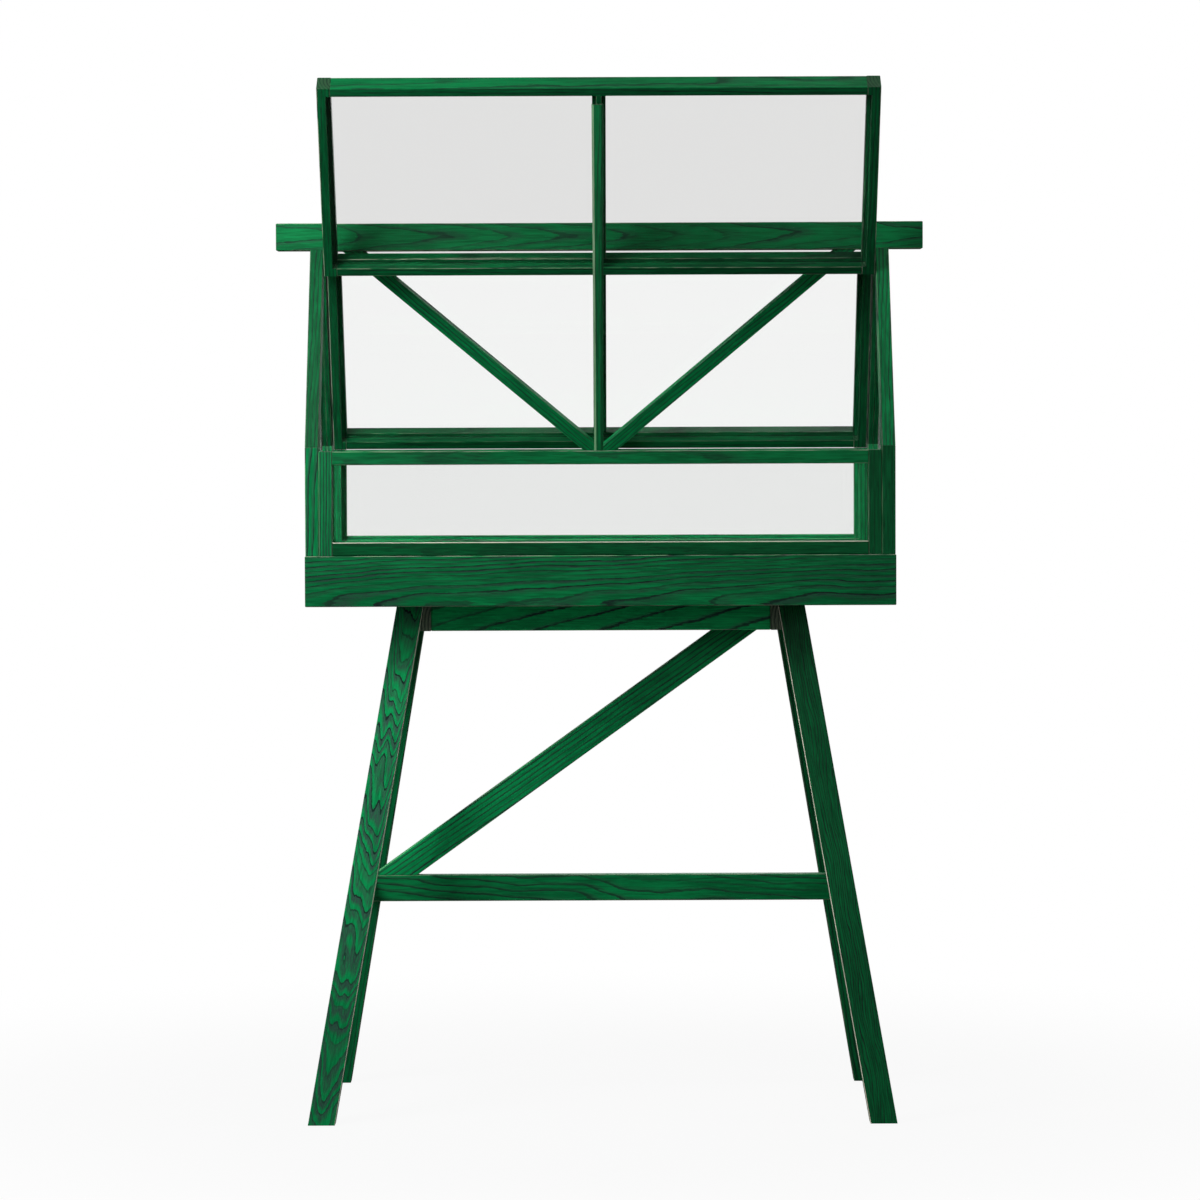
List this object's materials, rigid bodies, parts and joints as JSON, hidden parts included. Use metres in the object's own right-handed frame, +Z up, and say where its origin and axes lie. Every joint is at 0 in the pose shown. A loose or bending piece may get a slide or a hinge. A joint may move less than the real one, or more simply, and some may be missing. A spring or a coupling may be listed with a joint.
{
  "type": "greenhouse",
  "caption": "Small gable-roofed greenhouse of stained ash and glass on a splayed trestle stand, with glazed roof lids that hinge under the ridge and a loose prop stick.",
  "frame": {"origin": "on the floor, under the middle of the house", "axes": "+X to the right along the ridge, +Y from the lid that opens towards the user to the back, +Z up"},
  "size_m": [0.976, 0.45, 1.5417],
  "materials": {
    "stained_ash": "green stain with open grain and a satin lacquer",
    "clear_glass": "clear float glass",
    "steel": "bright zinc-plated steel"
  },
  "bodies": {
    "base": {"apron_front": "stained_ash", "apron_rear": "stained_ash", "cross_rail_left": "stained_ash", "cross_rail_right": "stained_ash", "diagonal_brace": "stained_ash", "front_window_bottom_rail": "stained_ash", "front_window_pane": "clear_glass", "front_window_stile_left": "stained_ash", "front_window_stile_right": "stained_ash", "front_window_top_rail": "stained_ash", "gable_pane_left": "clear_glass", "gable_pane_right": "clear_glass", "gable_sill_left": "stained_ash", "gable_sill_right": "stained_ash", "leg_front_left": "stained_ash", "leg_front_right": "stained_ash", "leg_rear_left": "stained_ash", "leg_rear_right": "stained_ash", "leg_screws": "steel", "pivot_pins_front": "steel", "pivot_pins_rear": "steel", "post_front_left": "stained_ash", "post_front_right": "stained_ash", "post_rear_left": "stained_ash", "post_rear_right": "stained_ash", "rafter_front_left": "stained_ash", "rafter_front_right": "stained_ash", "rafter_rear_left": "stained_ash", "rafter_rear_right": "stained_ash", "rear_window_bottom_rail": "stained_ash", "rear_window_pane": "clear_glass", "rear_window_stile_left": "stained_ash", "rear_window_stile_right": "stained_ash", "rear_window_top_rail": "stained_ash", "ridge_beam": "stained_ash", "roof_brace_left": "stained_ash", "roof_brace_right": "stained_ash", "stretcher": "stained_ash", "top_rail_left": "stained_ash", "top_rail_right": "stained_ash", "tray_board_front": "stained_ash", "tray_board_rear": "stained_ash", "tray_end_left": "stained_ash", "tray_end_right": "stained_ash", "tray_floor": "stained_ash", "tray_screws": "steel"},
    "front_lid": {"front_lid_free_rail": "stained_ash", "front_lid_hinge_rail": "stained_ash", "front_lid_mullion": "stained_ash", "front_lid_panes": "clear_glass", "front_lid_stile_left": "stained_ash", "front_lid_stile_right": "stained_ash"},
    "rear_lid": {"rear_lid_free_rail": "stained_ash", "rear_lid_hinge_rail": "stained_ash", "rear_lid_mullion": "stained_ash", "rear_lid_panes": "clear_glass", "rear_lid_stile_left": "stained_ash", "rear_lid_stile_right": "stained_ash"},
    "prop": {"prop_stick": "stained_ash"}
  },
  "joints": [
    {"name": "front_lid_hinge", "type": "hinge", "parent": "base", "child": "front_lid", "pos_m": [0, -0.04119, 1.27688], "axis": [1, 0, 0], "range_deg": [0, 121.5]},
    {"name": "rear_lid_hinge", "type": "hinge", "parent": "base", "child": "rear_lid", "pos_m": [0, 0.04119, 1.27688], "axis": [1, 0, 0], "range_deg": [0, 163]},
    {"name": "prop_removal", "type": "slide", "parent": "base", "child": "prop", "axis": [0, -1, 0], "range_m": [0, 0.86]}
  ],
  "couplings": [
    {"joint": "prop_removal", "follows": "front_lid_hinge", "m_per_rad": 0.4}
  ]
}
